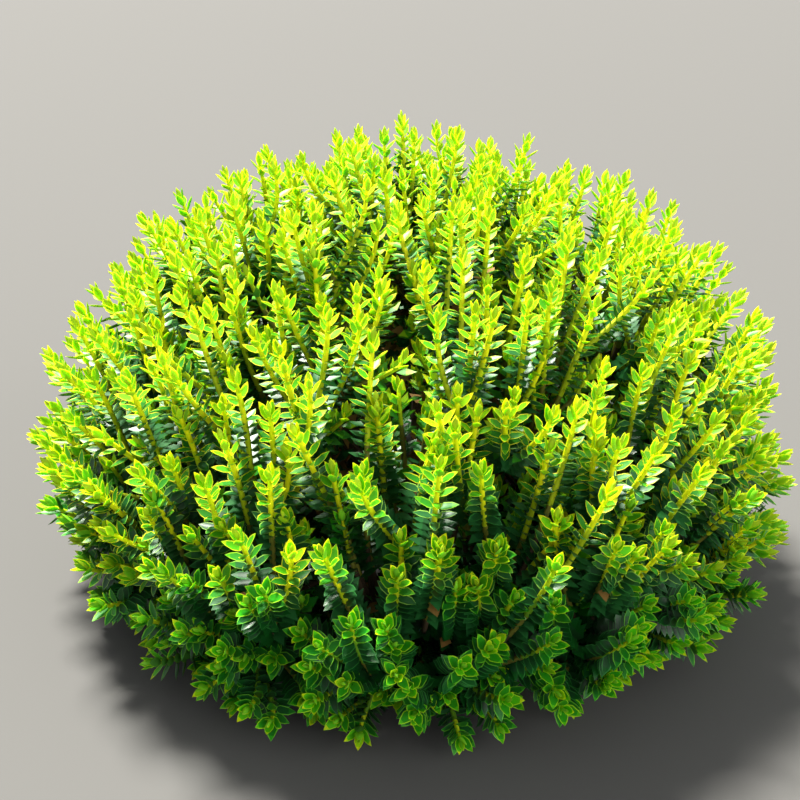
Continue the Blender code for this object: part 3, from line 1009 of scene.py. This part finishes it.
# the root crown in one piece and the boughs in another
def addBark():
    material = barkSurface()
    points, triangles = barkCrown()
    root = addMesh("bark_crown", points, triangles, np.zeros(len(triangles)), [material])
    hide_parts("root_crown")
    points, triangles, first = [], [], 0
    for k in range(len(massNames)):
        limbPoints, limbTriangles = barkBough(k)
        points.append(limbPoints)
        triangles.append(limbTriangles + first)
        first += len(limbPoints)
    points, triangles = np.concatenate(points), np.concatenate(triangles)
    boughs = addMesh("bark_boughs", points, triangles, np.zeros(len(triangles)), [material])
    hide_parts(*(f"bough_{name}" for name in massNames))
    for piece in (root, boughs):
        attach(piece, "root")
    print("bark triangles:", sum(len(piece.data.polygons) for piece in (root, boughs)))


addBark()

# Floor, lights and camera
stage = {
    "floorSize": 12.0,
    "floorColour": (0.082, 0.080, 0.078),
    "floorRoughness": 0.9,
    "worldLight": 0.60,
    "sunPlace": (-0.36, 0.58, 1.34),
    "sunPower": 15.0,
    "sunWidth": 16,  # degrees
    "sunColour": (1.0, 0.98, 0.90),
    "fillPlace": (1.0, -0.75, 0.24),
    "fillPower": 2.9,
    "fillWidth": 70,
    "fillColour": (1.0, 1.0, 0.96),
    "worldColour": (0.97, 0.98, 1.0),
    "cameraDistance": 1.010,
    "cameraPitch": 25.0,  # degrees that it looks down
    "cameraAim": (-0.011, -0.02, 0.1410),
    "lens": 65.0,
    "sensorWidth": 36.0,
}


def addFloor():
    half = stage["floorSize"] / 2
    corners = np.array([(-half, -half, 0), (half, -half, 0), (half, half, 0), (-half, half, 0)])
    colour = (*stage["floorColour"], 1)
    pale = Surface("paleFloor", baseColor=colour, roughness=stage["floorRoughness"])
    floor = addMesh("floor", corners, np.array([[0, 1, 2, 3]]), np.zeros(1), [pale.material], False)


# a sun that shines from its place towards the origin
def addSun(name):
    light = bpy.data.lights.new(name, "SUN")
    light.energy = stage[name + "Power"]
    light.angle = math.radians(stage[name + "Width"])
    light.color = stage[name + "Colour"]
    made = bpy.data.objects.new(name, light)
    made.rotation_euler = Vector(stage[name + "Place"]).to_track_quat("Z", "Y").to_euler()
    bpy.context.scene.collection.objects.link(made)


# in front of the aim, raised by the pitch
def addCamera():
    lens = bpy.data.cameras.new("camera")
    lens.lens = stage["lens"]
    lens.sensor_width = stage["sensorWidth"]
    made = bpy.data.objects.new("camera", lens)
    pitch = math.radians(stage["cameraPitch"])
    back = Vector((0.0, -math.cos(pitch), math.sin(pitch)))
    made.location = Vector(stage["cameraAim"]) + stage["cameraDistance"] * back
    made.rotation_euler = (-back).to_track_quat("-Z", "Y").to_euler()
    bpy.context.scene.collection.objects.link(made)
    bpy.context.scene.camera = made


def addWorld():
    world = bpy.data.worlds.new("softLight")
    world.use_nodes = True
    background = world.node_tree.nodes["Background"]
    background.inputs["Color"].default_value = (*stage["worldColour"], 1)
    background.inputs["Strength"].default_value = stage["worldLight"]
    bpy.context.scene.world = world


addFloor()
addSun("sun")
addSun("fill")
addCamera()
addWorld()
bpy.context.scene.view_settings.view_transform = "Standard"
print("floor, lights and camera are in")
